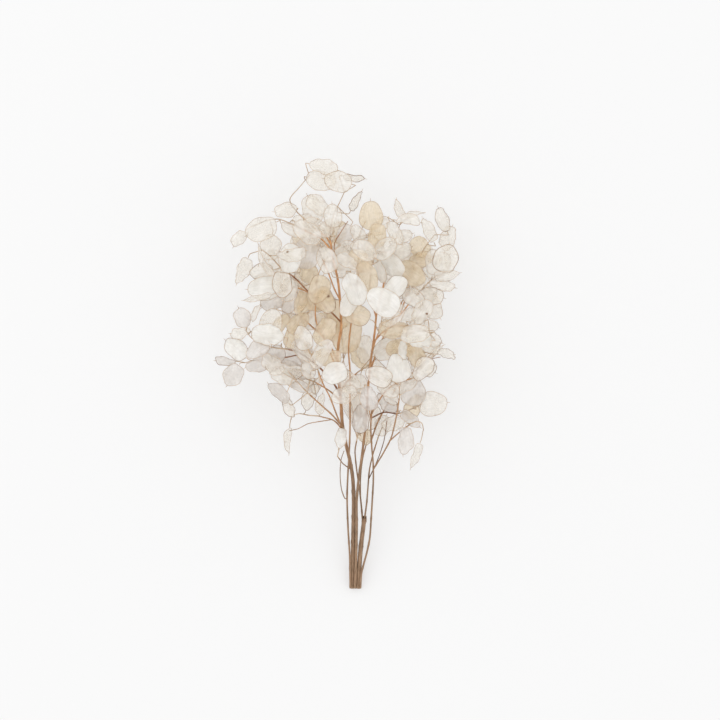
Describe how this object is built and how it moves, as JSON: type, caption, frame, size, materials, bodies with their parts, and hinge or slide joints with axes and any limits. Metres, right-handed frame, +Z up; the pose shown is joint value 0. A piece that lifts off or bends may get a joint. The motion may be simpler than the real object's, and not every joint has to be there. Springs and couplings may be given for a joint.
{
  "type": "bunch of dried honesty stems",
  "caption": "Loose bunch of dried honesty stems lying down, with thin woody branches and many flat oval silvery seed pods.",
  "frame": {"origin": "middle of the bunch's box on the surface that it lies on", "axes": "+Y from the cut ends to the heads, +Z up, +X to the right seen from above with the heads away from the viewer"},
  "size_m": [0.3096, 0.541, 0.163],
  "materials": {
    "stem_wood": "matte",
    "pod_paper": "satin"
  },
  "bodies": {
    "root": {"spray_broken_left": "pod_paper", "spray_broken_right": "pod_paper", "spray_broken_tip": "pod_paper", "spray_centre": "pod_paper", "spray_far_left": "pod_paper", "spray_front": "pod_paper", "spray_front_right": "pod_paper", "spray_inner_right": "pod_paper", "spray_left_end": "pod_paper", "spray_left_low": "pod_paper", "spray_left_middle": "pod_paper", "spray_left_side": "pod_paper", "spray_left_stem": "pod_paper", "spray_left_upper": "pod_paper", "spray_low_inner": "pod_paper", "spray_low_left": "pod_paper", "spray_lowest_left": "pod_paper", "spray_middle": "pod_paper", "spray_middle_high": "pod_paper", "spray_middle_left": "pod_paper", "spray_middle_up": "pod_paper", "spray_right_bow": "pod_paper", "spray_right_drop": "pod_paper", "spray_right_inner": "pod_paper", "spray_right_low": "pod_paper", "spray_right_middle": "pod_paper", "spray_right_outer": "pod_paper", "spray_right_top": "pod_paper", "spray_right_upper": "pod_paper", "spray_stub": "pod_paper", "spray_top": "pod_paper", "spray_top_left": "pod_paper", "spray_under": "pod_paper", "spray_under_low": "pod_paper", "spray_under_right": "pod_paper", "spray_under_top": "pod_paper", "stem_broken": "stem_wood", "stem_left": "stem_wood", "stem_main": "stem_wood", "stem_middle": "stem_wood", "stem_right": "stem_wood"}
  },
  "joints": []
}
